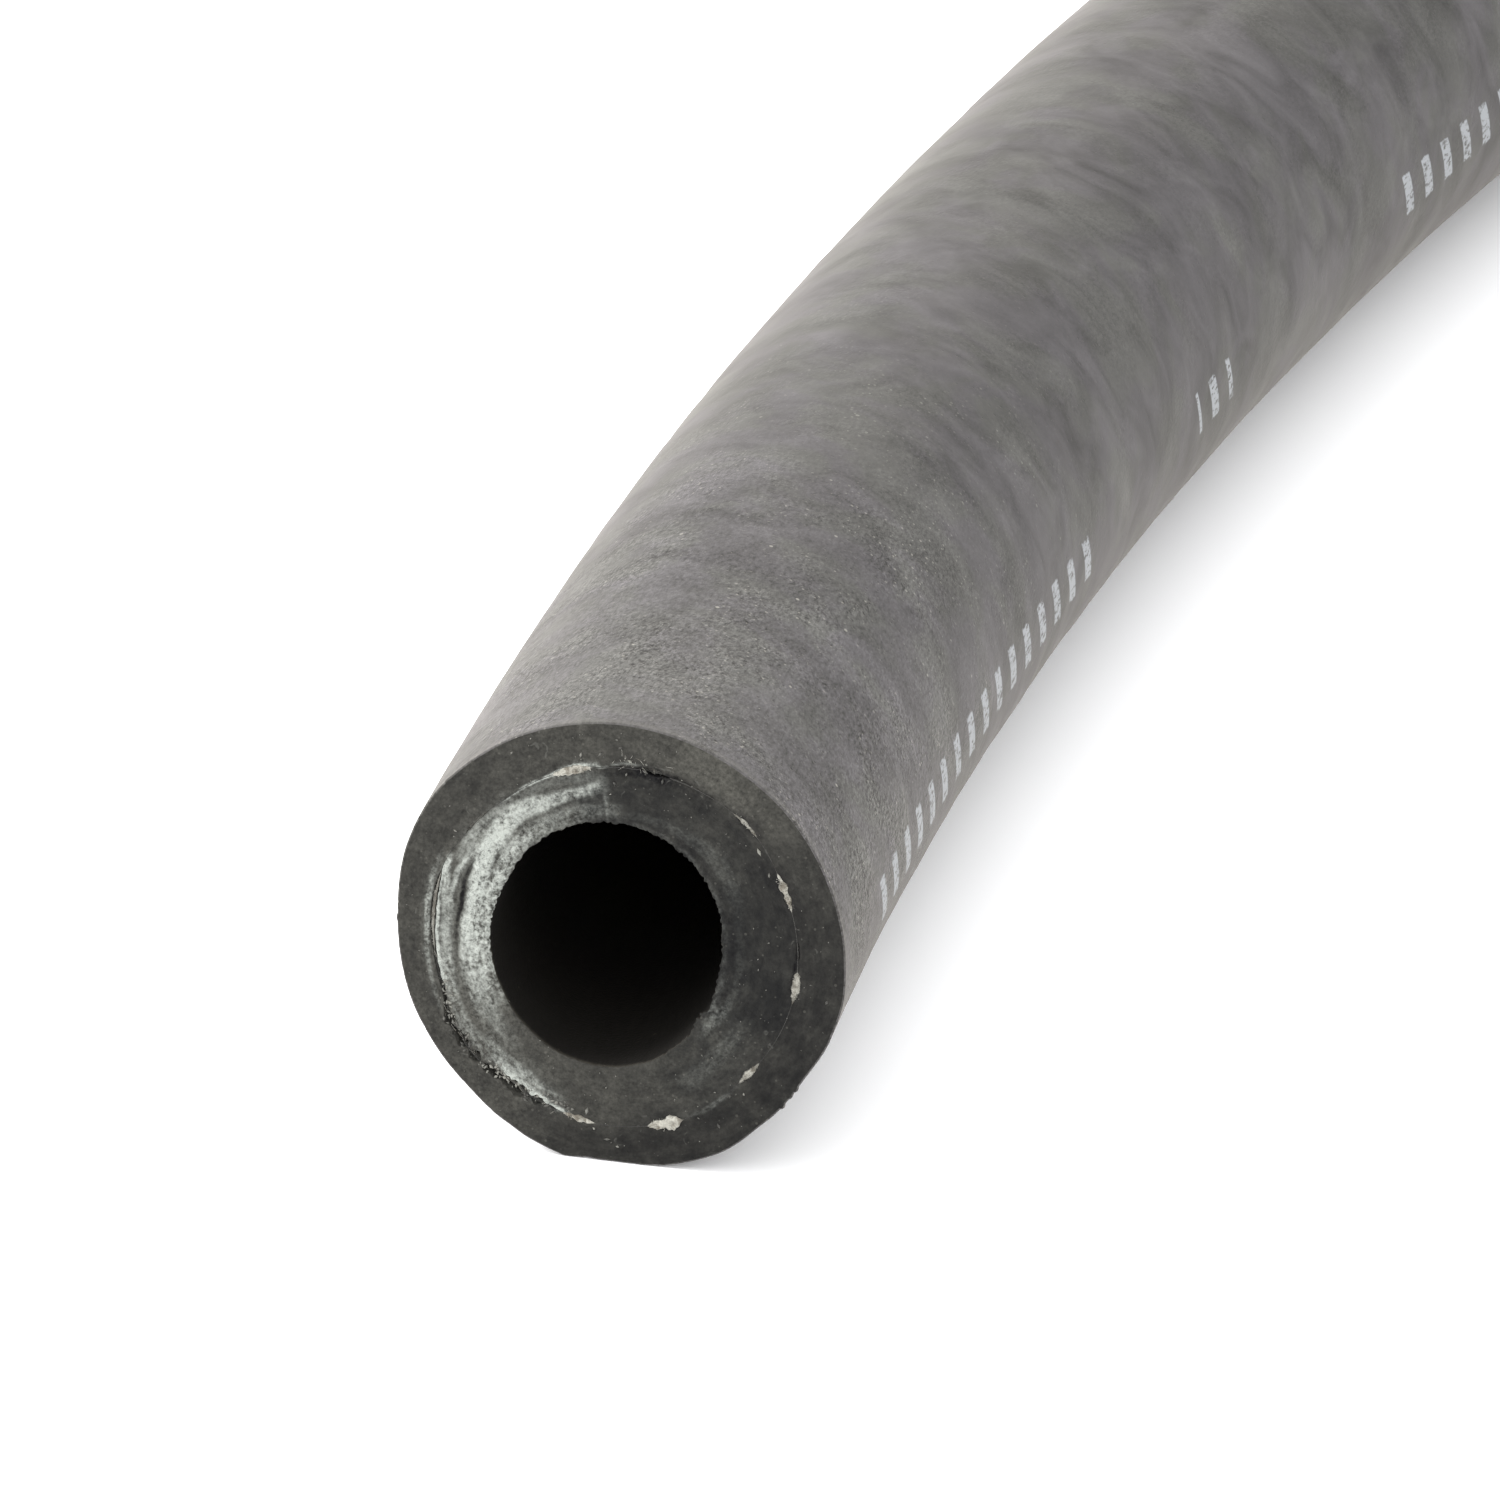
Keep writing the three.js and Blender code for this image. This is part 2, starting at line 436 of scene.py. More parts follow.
def stitch(first, first_count, second, second_count):
    """Faces between two rings, where one may have a whole number of times as many points."""
    if first_count == second_count:
        here = np.arange(first_count)
        after = (here + 1) % first_count
        return np.stack([first + here, second + here, second + after, first + after], axis=1).tolist()
    coarse_count = min(first_count, second_count)
    times = max(first_count, second_count) // coarse_count
    coarse, fine = (first, second) if first_count < second_count else (second, first)
    fine_first = first_count > second_count
    faces = []
    for j in range(coarse_count):
        here, after = coarse + j, coarse + (j + 1) % coarse_count
        row = [fine + (j * times + k) % (coarse_count * times) for k in range(times + 1)]
        middle = times // 2
        for k in range(times):
            corner = here if k < middle else after
            if k == middle:
                faces.append([row[k], here, after] if fine_first else [here, row[k], after])
            faces.append([row[k], corner, row[k + 1]] if fine_first else [corner, row[k], row[k + 1]])
    return faces


def around(count):
    return -90 + np.arange(count) * 360 / count


def build_piece(name, points, faces, materials, face_materials=None, masks=None):
    """A piece from points in straight millimetres, which are kept as the attribute straight."""
    mesh = bpy.data.meshes.new(name)
    mesh.from_pydata(bend(points).tolist(), [], faces)
    for material in materials:
        mesh.materials.append(material)
    if face_materials is not None:
        mesh.polygons.foreach_set("material_index", face_materials)
    mesh.shade_smooth()
    straight = mesh.attributes.new("straight", "FLOAT_VECTOR", "POINT")
    straight.data.foreach_set("vector", np.asarray(points, np.float32).ravel())
    for mask, values in (masks or {}).items():
        layer = mesh.attributes.new(mask, "FLOAT", "POINT")
        layer.data.foreach_set("value", np.asarray(values, np.float32))
    mesh.update()
    piece = bpy.data.objects.new(name, mesh)
    bpy.context.scene.collection.objects.link(piece)
    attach(piece, "root")
    return piece


# Materials


class Shader:
    """One procedural material. Its lengths are in millimetres of the straightened hose."""

    def __init__(self, name, **surface):
        self.material = bpy.data.materials.new(name)
        self.material.use_nodes = True
        self.nodes = self.material.node_tree.nodes
        self.links = self.material.node_tree.links
        self.surface = self.nodes["Principled BSDF"]
        for socket, value in surface.items():
            self.surface.inputs[socket.replace("_", " ")].default_value = value

    def put(self, socket, value):
        if isinstance(value, bpy.types.NodeSocket):
            self.links.new(value, socket)
        elif socket.type == "RGBA":
            socket.default_value = (*value, 1)
        else:
            socket.default_value = value

    def node(self, kind, inputs, output=0, **settings):
        made = self.nodes.new("ShaderNode" + kind)
        for key, value in settings.items():
            setattr(made, key, value)
        for socket, value in inputs.items():
            self.put(made.inputs[socket], value)
        return made.outputs[output]

    def mask(self, name):
        return self.node("Attribute", {}, "Fac", attribute_name=name)

    def straight(self):
        return self.node("Attribute", {}, "Vector", attribute_name="straight")

    def maths(self, operation, first, second=0.0, third=0.0):
        return self.node("Math", {0: first, 1: second, 2: third}, operation=operation)

    def add(self, first, second):
        return self.maths("ADD", first, second)

    def times(self, first, second):
        return self.maths("MULTIPLY", first, second)

    def less(self, first, second):
        return self.maths("SUBTRACT", first, second)

    def swing(self, value, amount):
        """How far the value is from a half, times the amount."""
        return self.times(self.less(value, 0.5), amount)

    def split(self, vector):
        made = self.nodes.new("ShaderNodeSeparateXYZ")
        self.put(made.inputs[0], vector)
        return made.outputs

    def swirl(self, round_scale, radial_scale, along_scale):
        """Coordinates that go round, outwards and along the hose, with no seam."""
        position = self.straight()
        flat = self.node("VectorMath", {0: position, 1: (1, 1, 0)}, operation="MULTIPLY")
        radius = self.node("VectorMath", {0: flat}, "Value", operation="LENGTH")
        heading = self.node("VectorMath", {0: flat}, operation="NORMALIZE")
        east, north, _ = self.split(heading)
        along = self.split(position)[2]
        depth = self.add(self.times(radius, radial_scale), self.times(along, along_scale))
        return self.node(
            "CombineXYZ",
            {0: self.times(east, round_scale), 1: self.times(north, round_scale), 2: depth},
        )

    def stretched(self, along_scale):
        """The straight coordinates, with the length of the hose scaled."""
        return self.node("VectorMath", {0: self.straight(), 1: (1, 1, along_scale)}, operation="MULTIPLY")

    def noise(self, vector, scale, detail=2.0, roughness=0.5, distortion=0.0):
        settings = {"Vector": vector, "Scale": scale, "Detail": detail, "Roughness": roughness}
        return self.node("TexNoise", {**settings, "Distortion": distortion}, "Fac")

    def window(self, value, low, high):
        """0 below the low value, 1 above the high one, or the other way round."""
        settings = {"Value": value, "From Min": low, "From Max": high}
        return self.node("MapRange", settings, 0, interpolation_type="SMOOTHSTEP")

    def between(self, value, low, high, edge):
        """1 between two values, with soft edges inside them."""
        return self.times(self.window(value, low, low + edge), self.window(value, high, high - edge))

    def dots(self, scale, share, size):
        """Small round dots, in this share of cells that are 1 / scale mm wide."""
        made = self.nodes.new("ShaderNodeTexVoronoi")
        self.put(made.inputs["Vector"], self.straight())
        self.put(made.inputs["Scale"], scale)
        chosen = self.window(self.split(made.outputs["Color"])[0], 1 - share, 1 - share + 0.02)
        reach = self.times(self.split(made.outputs["Color"])[1], size)
        return self.times(chosen, self.window(self.less(made.outputs["Distance"], reach), 0.04, -0.02))

    def blend(self, factor, first, second):
        made = self.nodes.new("ShaderNodeMix")
        made.data_type = "RGBA"
        self.put(made.inputs[0], factor)
        self.put(made.inputs[6], first)
        self.put(made.inputs[7], second)
        return made.outputs[2]

    def scale_colour(self, colour, factor):
        return self.node("VectorMath", {0: colour, "Scale": factor}, operation="SCALE")

    def finish(self, colour, roughness=None, height=None, distance=0.02):
        """The height is in mm for a distance of 1."""
        self.put(self.surface.inputs["Base Color"], colour)
        if roughness is not None:
            self.put(self.surface.inputs["Roughness"], roughness)
        if height is not None:
            bump = self.node("Bump", {"Height": height, "Distance": distance * MM, "Strength": 1.0})
            self.put(self.surface.inputs["Normal"], bump)
        return self.material


def skin_material():
    shader = Shader("cover_skin", Sheen_Weight=0.22, Sheen_Roughness=0.35, Specular_IOR_Level=0.15)
    shader.surface.inputs["Sheen Tint"].default_value = (1.0, 0.93, 0.83, 1)
    place = shader.straight()
    right, up, along = shader.split(place)
    grain = shader.noise(shader.stretched(0.55), 5.0, 2.0, 0.75)
    coarse = shader.noise(shader.stretched(0.6), 1.5, 2.0, 0.6)
    mottle = shader.noise(shader.swirl(2.6, 0, 0.34), 1.0, 3.0, 0.55, 0.8)
    patches = shader.noise(place, 0.2, 4.0, 0.62)
    hue = shader.noise(shader.swirl(2.0, 0, 0.2), 1.0, 3.0, 0.6, 0.5)
    ripple = shader.mask("ripple")
    from_cut = shader.mask("from_cut")
    sharp = shader.add(0.2, shader.times(shader.window(along, 55, 3), 0.8))
    rough_patch = shader.window(patches, 0.42, 0.64)
    colour = shader.blend(shader.window(hue, 0.4, 0.6), (0.0485, 0.0459, 0.0489), (0.0478, 0.0475, 0.045))
    speckle = shader.swing(grain, shader.add(3.4, shader.times(rough_patch, 3.4)))
    light = shader.add(1.0, shader.times(speckle, sharp))
    light = shader.add(light, shader.times(shader.swing(coarse, 0.5), sharp))
    light = shader.add(light, shader.swing(mottle, 1.9))
    light = shader.add(light, shader.swing(patches, 0.4))
    # The ripples' crests are painted lighter and their hollows darker: partly dust on the crests, partly
    # painted shade of the low relief
    light = shader.add(light, shader.times(ripple, 0.09))
    colour = shader.scale_colour(colour, light)
    # Painted light: the top of the skin within about 24 mm of the near cut is painted lighter
    painted_top_light = shader.times(shader.window(along, 24, 5), shader.window(up, 5, 11))
    colour = shader.blend(shader.times(painted_top_light, 0.22), colour, (0.12, 0.117, 0.112))
    rim = shader.times(shader.window(from_cut, 0.7, 0.2), 0.22)
    colour = shader.blend(rim, colour, (0.1, 0.094, 0.082))
    fine_sparkle = shader.times(shader.dots(3.8, 0.4, 0.3), shader.add(0.2, shader.times(rough_patch, 0.8)))
    sparkle = shader.maths("MAXIMUM", fine_sparkle, shader.dots(1.3, 0.14, 0.13))
    sparkle = shader.times(sparkle, shader.window(along, 80, 8))
    colour = shader.blend(shader.times(sparkle, 0.65), colour, (0.27, 0.26, 0.23))
    pits = shader.dots(2.9, 0.4, 0.26)
    colour = shader.blend(shader.times(shader.times(pits, 0.5), sharp), colour, (0.014, 0.0135, 0.013))
    stripe = stripe_mask(shader, right, up, along)
    colour = shader.blend(shader.times(stripe, 0.9), colour, (0.26, 0.275, 0.29))
    height = shader.add(shader.times(grain, shader.add(0.4, rough_patch)), shader.times(sparkle, 0.3))
    height = shader.less(height, shader.times(pits, 0.3))
    height = shader.times(shader.add(height, shader.times(coarse, 0.3)), sharp)
    roughness = shader.add(0.58, shader.times(grain, 0.25))
    return shader.finish(colour, roughness, height, 0.065)


STRIPE_LEVEL = -0.75
STRIPE_HALF_HEIGHT = 1.3
STRIPE_REPEAT = 105.0
DASH_PITCH = 3.1
DASH_LENGTH = 1.35
DASH_START, DASH_STOP = 9.0, 57.0
LONE_DASHES = (78.0, 84.2)
DASH_LEAN = 0.55
STRIPE_EDGE = 0.08


def stripe_mask(shader, right, up, along):
    """A worn printed line of plain slanted dashes along the right flank."""
    level = shader.less(up, STRIPE_LEVEL)
    edge = shader.swing(shader.noise(shader.straight(), 2.5, 2.0), 0.5)
    from_middle = shader.add(shader.maths("ABSOLUTE", level), edge)
    tall = shader.window(from_middle, STRIPE_HALF_HEIGHT + STRIPE_EDGE, STRIPE_HALF_HEIGHT - STRIPE_EDGE)
    side = shader.window(right, 0, 1)
    slanted = shader.add(along, shader.times(level, DASH_LEAN))
    place = shader.maths("FLOORED_MODULO", slanted, STRIPE_REPEAT)
    dash = shader.maths("FLOORED_MODULO", shader.less(place, DASH_START), DASH_PITCH)
    ends = shader.between(dash, 0.0, DASH_LENGTH, 0.15)
    row = shader.between(place, DASH_START, DASH_STOP, 0.1)
    lone = shader.between(place, *LONE_DASHES, 0.1)
    marks = shader.times(ends, shader.maths("MAXIMUM", row, lone))
    worn = shader.noise(shader.stretched(0.4), 1.1, 4.0, 0.7)
    kept = shader.window(worn, 0.7, 0.54)
    flecks = shader.window(shader.noise(shader.stretched(0.5), 4.0, 3.0, 0.6), 0.68, 0.5)
    return shader.times(shader.times(shader.times(tall, side), marks), shader.times(kept, flecks))


def cut_material(name, base):
    """The knife-cut rubber of an end: dull and grained, hazy with dust, whitened where it tore, and with a
    painted sheen and highlights where its facets would catch the light.
    """
    shader = Shader(name, Specular_IOR_Level=0.06)
    place = shader.straight()
    grain = shader.noise(place, 4.6, 2.0, 0.75)
    cloud = shader.noise(place, 0.75, 4.0, 0.6)
    streak = shader.noise(shader.swirl(9, 3.2, 0), 1.0, 3.0, 0.6)
    granules = shader.window(shader.noise(place, 4.2, 2.0, 0.7), 0.36, 0.64)
    crumbs = shader.window(shader.noise(place, 1.9, 3.0, 0.6), 0.36, 0.64)
    white, grit, haze = shader.mask("white"), shader.mask("grit"), shader.mask("haze")
    dull = shader.add(shader.times(haze, 0.9), shader.swing(cloud, 0.8))
    dull = shader.add(dull, shader.swing(streak, 0.5))
    colour = shader.blend(shader.window(dull, -0.2, 1.2), base, (0.07, 0.068, 0.059))
    contrast = shader.add(1.0, shader.times(haze, 1.3))
    colour = shader.scale_colour(colour, shader.add(1.0, shader.swing(grain, contrast)))
    pitted = shader.times(shader.times(grit, shader.less(1.0, granules)), 0.42)
    worn = shader.times(shader.less(1.0, crumbs), 0.2)
    level = shader.times(white, shader.less(shader.less(1.0, pitted), worn))
    brushed = shader.times(shader.swing(streak, white), 1.6)
    grained = shader.times(shader.swing(grain, white), 1.7)
    level = shader.add(level, shader.add(brushed, grained))
    # This light colour is whitened rubber and also a painted sheen and highlight off the cut facets
    colour = shader.blend(shader.window(level, -0.02, 0.96), colour, (0.35, 0.368, 0.34))
    # Painted shade: the groove, the yarn's hollow and the rubber beside the bore are darkened, and the torn
    # patch takes its own dark colour
    torn = shader.add(shader.mask("dark"), shader.times(shader.less(granules, 0.75), 0.6))
    dark = shader.times(shader.times(shader.mask("dark"), shader.window(torn, -0.1, 0.9)), 0.9)
    colour = shader.blend(dark, colour, (0.004, 0.0038, 0.005))
    specks = shader.maths("MAXIMUM", shader.dots(3.4, 0.3, 0.24), shader.dots(2.2, 0.12, 0.14))
    colour = shader.blend(shader.times(specks, 0.17), colour, (0.15, 0.145, 0.125))
    hairs = shader.noise(shader.swirl(14, 1.6, 0), 1.0, 2.0, 0.5, 1.5)
    colour = shader.blend(shader.times(shader.window(hairs, 0.69, 0.78), 0.3), colour, (0.11, 0.11, 0.1))
    height = shader.add(shader.times(grain, 0.8), shader.times(granules, shader.add(0.15, white)))
    height = shader.add(height, shader.times(streak, 0.5))
    roughness = shader.add(0.55, shader.times(grain, 0.3))
    return shader.finish(colour, roughness, height, 0.06)


def bore_material():
    shader = Shader("bore_rubber", Roughness=0.6, Specular_IOR_Level=0.2)
    place = shader.straight()
    grain = shader.noise(place, 6.0, 3.0, 0.6)
    along = shader.split(place)[2]
    drawn = shader.noise(shader.swirl(14, 0, 0.15), 1.0, 3.0, 0.6)
    light = shader.add(0.5, shader.add(shader.times(grain, 0.6), shader.times(drawn, 0.4)))
    colour = shader.scale_colour((0.0106, 0.0097, 0.0084), light)
    specks = shader.times(shader.dots(1.7, 0.2, 0.14), shader.window(along, 8, 1))
    colour = shader.blend(shader.times(specks, 0.5), colour, (0.1, 0.09, 0.07))
    edge = shader.mask("edge")
    colour = shader.blend(shader.times(edge, 0.4), colour, (0.08, 0.073, 0.06))
    return shader.finish(colour, None, grain, 0.04)


def yarn_material():
    shader = Shader("yarn_fibre", Roughness=0.85, Sheen_Weight=0.2, Specular_IOR_Level=0.3)
    place = shader.straight()
    grain = shader.noise(place, 12.0, 3.0, 0.7)
    stain = shader.noise(place, 2.2, 3.0, 0.6)
    bright = shader.mask("bright")
    colour = shader.blend(shader.window(stain, 0.42, 0.68), (0.37, 0.36, 0.315), (0.15, 0.135, 0.108))
    colour = shader.scale_colour(colour, shader.add(0.35, shader.times(grain, 1.3)))
    colour = shader.blend(bright, (0.014, 0.0134, 0.0128), colour)
    return shader.finish(colour, None, grain, 0.06)


def crumb_material():
    shader = Shader("rubber_crumb", Roughness=0.8, Specular_IOR_Level=0.2)
    place = shader.straight()
    shade = shader.window(shader.noise(place, 0.9, 2.0), 0.35, 0.65)
    colour = shader.blend(shade, (0.05, 0.049, 0.045), (0.2, 0.197, 0.175))
    return shader.finish(colour, None, shader.noise(place, 16.0, 2.0), 0.02)


# The cover

COVER_COLUMNS = 720
SKIN_COLUMNS = 240
FAR_SKIN_COLUMNS = 80
WALL_COLUMNS = 120
RIM_ROUNDING = 0.08
FINE_SKIN_END = 3.0
MIDDLE_SKIN_END = 60.0
SLANT_FADE = 9.0


def spacing(start, end, step):
    count = max(int(math.ceil((end - start) / step)), 1)
    return start + (end - start) * np.arange(1, count + 1) / count


def yarn_rise(degrees, along):
    """Half the reinforcement's thickness, where the film between the yarns is thin."""
    film = 0.012
    total = np.full(np.shape(degrees), film)
    share = ramp(along, 0.5, 10.0)
    for k, (angle, half_width, half_thickness, _, _) in enumerate(YARN_ENDS):
        even = -75 + 360 / YARN_COUNT * k
        middle = angle + apart(even, angle) * share
        width = half_width + (YARN_WIDTH / 2 - half_width) * share
        thick = half_thickness + (YARN_THICKNESS / 2 - half_thickness) * share
        offset = np.radians(apart(degrees, middle)) * YARN_MIDDLE_RADIUS / width
        lumpy = 1 + 0.5 * noise(degrees / 2.1, 0, 0, 63, 3) * near_share(along, 3)
        total = np.maximum(total, film + thick * lumpy * np.maximum(1 - offset**2, 0) ** 0.65)
    return total


def bond_radius(degrees, along):
    near = round_curve(degrees, BOND_RADIUS)
    return near + (YARN_MIDDLE_RADIUS - near) * ramp(along, 0, 12)


def crack(degrees):
    """How far the near end has come apart beside the reinforcement, from 0 to 1."""
    thin = ramp(apart(degrees, 180), -18, -13) * (1 - ramp(apart(degrees, 180), 20, 28))
    rough = 2.2 * ramp(apart(degrees, 225), -22, -10) * (1 - ramp(apart(degrees, 225), 20, 28))
    ragged = 0.9 + 0.7 * noise(degrees / 2.5, 0, 0, 41, 2)
    return np.maximum(0.8 * thin, rough * ragged)


def pocket(degrees, along, side):
    """The rubber's radius where it meets the reinforcement: side -1 is the tube, 1 the cover."""
    gap = 0.1 * crack(degrees) * near_share(along, 1.6)
    ragged = 0.02 * noise(degrees / 1.7, side, 0, 43, 2) * near_share(along, 1.0) * crack(degrees)
    return bond_radius(degrees, along) + side * (yarn_rise(degrees, along) + gap) + ragged


def cover_relief(right, up):
    """How far the cover's cut end stands back, in mm."""
    degrees, radius = polar(right, up)
    knife = 0.012 * noise(right * 0.5 + up * 1.9, up * 0.4, 0, 51, 3)
    grain = 0.006 * noise(right * 6, up * 6, 0, 53, 2)
    inner = 1 - ramp(radius - round_curve(degrees, BOND_RADIUS), 0.1, 0.55)
    lifted = ramp(apart(degrees, 190), -40, -20) * (1 - ramp(apart(degrees, 190), 35, 60))
    crumbs = inner * lifted * (0.05 + 0.06 * noise(right * 5, up * 5, 0, 55, 3))
    return knife + grain - crumbs + hollow(right, up)


def make_cover():
    body = RingMesh()
    degrees = around(COVER_COLUMNS)
    inner = pocket(degrees, 0, 1)
    outer = skin_radius(degrees, 0) - RIM_ROUNDING
    nick = 0.05 * ramp(noise(degrees / 1.3, 0, 0, 61, 2), 0.55, 1.1)
    for share in (0, 0.004, *np.linspace(0.05, 1, 20)):
        radius = inner + (outer - inner) * share
        right, up = cartesian(radius, degrees)
        body.ring(radius, slant(right, up) + cover_relief(right, up), degrees, 0)
    body.materials[-1] = 1
    last_relief = cover_relief(right, up)
    for lift in np.radians((25, 50, 72, 90)):
        radius = outer + RIM_ROUNDING * math.sin(lift)
        rounding = (RIM_ROUNDING + nick) * (1 - math.cos(lift))
        along = slant(*cartesian(radius, degrees)) + last_relief * math.cos(lift) + rounding
        body.ring(radius, along, degrees, 1)
    skin = [
        (COVER_COLUMNS, RIM_ROUNDING + 0.15 * np.arange(1, 9)),
        (SKIN_COLUMNS, spacing(RIM_ROUNDING + 1.2, FINE_SKIN_END, 0.25)),
        (SKIN_COLUMNS, spacing(FINE_SKIN_END, MIDDLE_SKIN_END, 0.43)),
        (FAR_SKIN_COLUMNS, spacing(MIDDLE_SKIN_END, HOSE_LENGTH - 1.2, 0.7)),
        (SKIN_COLUMNS, spacing(HOSE_LENGTH - 1.2, HOSE_LENGTH - RIM_ROUNDING, 0.3)),
    ]
    for count, places in skin:
        degrees = around(count)
        for along in places:
            body.slanted_ring(skin_radius(degrees, np.full(count, along)), along, degrees, 1)
    outer = skin_radius(degrees, np.full(SKIN_COLUMNS, HOSE_LENGTH)) - RIM_ROUNDING
    for lift in np.radians((65, 35)):
        along = HOSE_LENGTH - RIM_ROUNDING * (1 - math.cos(lift))
        body.ring(outer + RIM_ROUNDING * math.sin(lift), along, degrees, 1)
    inner = pocket(degrees, np.full(SKIN_COLUMNS, HOSE_LENGTH), 1)
    for share in np.linspace(1, 0, 9):
        body.ring(inner + (outer - inner) * share, HOSE_LENGTH, degrees, 0)
    for along in wall_places():
        body_wall(body, along, 1, 2)
    points = body.points()
    right, up, along = points.T
    degrees, _ = polar(right, up)
    masks = {
        "ripple": ripples(degrees, along) * ramp(along, RIPPLES_START, RIPPLES_FULL),
        "from_cut": from_cut(right, up, along),
        **cut_masks(points),
    }
    faces, materials = body.faces()
    shaders = [COVER_CUT, SKIN, COVER_CUT]
    piece = build_piece("hose_cover", points, faces, shaders, materials, masks)
    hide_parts("outer_cover")
    return piece


def wall_places():
    """Where the hidden wall between two layers has rings, from the far end to the near end."""
    return [*np.linspace(HOSE_LENGTH - 3, 12, 40), 8, 5, 3, 2]


def body_wall(body, along, side, material):
    degrees = around(WALL_COLUMNS)
    body.ring(pocket(degrees, np.full(WALL_COLUMNS, float(along)), side), along, degrees, material)


# Dust on the cut, through (angle, strength) stops
COVER_HAZE = [
    (90, 0.5), (62, 0.75), (38, 0.4), (5, 0.14), (-60, 0.12), (-90, 0.14), (-122, 0.45), (-145, 0.5),
    (180, 0.42), (140, 0.4),
]
TUBE_HAZE = [
    (90, 0.12), (50, 0.2), (20, 0.04), (-10, 0.0), (-45, 0.28), (-80, 0.42), (-120, 0.55), (-150, 0.75),
    (180, 0.7), (140, 0.6), (115, 0.5), (100, 0.25),
]


def haze(degrees, radius):
    """How dusty the cut rubber is, with no step where the tube meets the cover."""
    tube_share = ramp(radius - round_curve(degrees, BOND_RADIUS), 0.9, -0.7)
    cover_haze = round_curve(degrees, COVER_HAZE)
    return cover_haze + (round_curve(degrees, TUBE_HAZE) - cover_haze) * tube_share


CUT_MARKS_END = 3.0
FAR_HAZE = 0.15


def cut_masks(points):
    """How white, gritty, dark and dusty a piece is at its points. The far end is only dusty."""
    right, up, along = points.T
    near = (along < CUT_MARKS_END).astype(float)
    return {
        "white": near * whitening_and_sheen(right, up),
        "grit": near * grit(right, up),
        "dark": near * strokes(right, up, DARK_STROKES),
        "haze": FAR_HAZE + near * (haze(*polar(right, up)) - FAR_HAZE),
    }


# The inner tube

LIP_ROUNDING = 0.08
BORE_FADE = 18.0
LUMP_ANGLE = -36
LUMP_HEIGHT = 0.36


def bore_edge(degrees, along):
    """The bore's radius about its own middle."""
    cut = round_curve(degrees, BORE_EDGE)
    smooth_part = 1 - ramp(np.abs(apart(degrees, -115)), 40, 75)
    ragged = 0.05 * noise(degrees / 1.4, 0, 0, 71, 3) * (1 - 0.75 * smooth_part)
    lump = 1 - ramp(np.abs(apart(degrees, LUMP_ANGLE)), 1, 8)
    lump = lump * (0.7 + 0.5 * noise(degrees / 1.5, 0, 0, 73, 2))
    settled = BORE_RADIUS + (cut - BORE_RADIUS) * near_share(along, BORE_FADE)
    return settled + (ragged - LUMP_HEIGHT * lump) * near_share(along, 0.9)


def tube_relief(right, up):
    """How far the tube's cut end stands back, in mm."""
    degrees, radius = polar(right, up)
    white = whitening_and_sheen(right, up)
    knife = 0.015 * noise(right * 1.7 - up * 0.6, up * 0.4, 0, 81, 3)
    grain = 0.007 * noise(right * 6, up * 6, 0, 83, 2)
    crumbs = 0.04 * white + 0.07 * grit(right, up) * (0.25 + white) * noise(right * 5, up * 5, 0, 85, 3)
    return knife + grain - crumbs + hollow(right, up)


def bore_ring(angles, along, inset=0.0):
    """Places round the bore, or this far outside it."""
    radius = bore_edge(angles, np.full(len(angles), float(along))) + inset
    middle = np.array([BORE_MIDDLE[0], BORE_MIDDLE[1] * near_share(along, BORE_FADE)])
    return middle + np.stack(cartesian(radius, angles), axis=1)


def make_tube():
    body = RingMesh()
    degrees = around(COVER_COLUMNS)
    bore_places = [
        (COVER_COLUMNS, LIP_ROUNDING + 0.12 * np.arange(8, -1, -1)),
        (SKIN_COLUMNS, np.linspace(10, 1.3, 26)),
        (FAR_SKIN_COLUMNS, np.linspace(HOSE_LENGTH - 8, 11, 120)),
        (SKIN_COLUMNS, np.linspace(HOSE_LENGTH, HOSE_LENGTH - 7, 12)),
    ]
    for count, places in reversed(bore_places):
        angles = around(count)
        for along in places:
            flat = bore_ring(angles, along)
            body.flat_ring(flat, along + slant(*flat.T) * near_share(along, SLANT_FADE), 1)
    for lift in np.radians((70, 45, 20)):
        flat = bore_ring(degrees, 0, LIP_ROUNDING * (1 - math.sin(lift)))
        body.flat_ring(flat, slant(*flat.T) + LIP_ROUNDING * (1 - math.cos(lift)), 0)
    start = bore_ring(degrees, 0, LIP_ROUNDING)
    outer = np.stack(cartesian(pocket(degrees, 0, -1), degrees), axis=1)
    for share in (*np.linspace(0, 0.96, 28), 0.997, 1):
        flat = start + (outer - start) * share
        body.flat_ring(flat, slant(*flat.T) + tube_relief(*flat.T), 0)
    for along in (0.15, 0.5, 1.2):
        body.slanted_ring(pocket(degrees, np.full(COVER_COLUMNS, along), -1), along, degrees, 2)
    for along in reversed(wall_places()):
        body_wall(body, along, -1, 2)
    angles = around(SKIN_COLUMNS)
    edge = np.stack(cartesian(pocket(angles, np.full(SKIN_COLUMNS, HOSE_LENGTH), -1), angles), axis=1)
    mouth = bore_ring(angles, HOSE_LENGTH)
    for share in np.linspace(0, 1, 10)[:-1]:
        body.flat_ring(edge + (mouth - edge) * share, HOSE_LENGTH, 0)
    points = body.points()
    right, up, along = points.T
    degrees, _ = polar(right, up)
    lower = 1 - ramp(np.abs(apart(degrees, -115)), 50, 90)
    lip = 1 - ramp(from_cut(right, up, along), 0.1, 0.35)
    masks = {**cut_masks(points), "edge": (along < CUT_MARKS_END) * lower * lip}
    faces, materials = body.faces()
    shaders = [TUBE_CUT, BORE, TUBE_CUT]
    piece = build_piece("hose_tube", points, faces, shaders, materials, masks)
    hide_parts("inner_tube")
    return piece


# The yarn reinforcement

YARN_FIT = 0.96
HIDDEN_BRIGHTNESS = 0.6


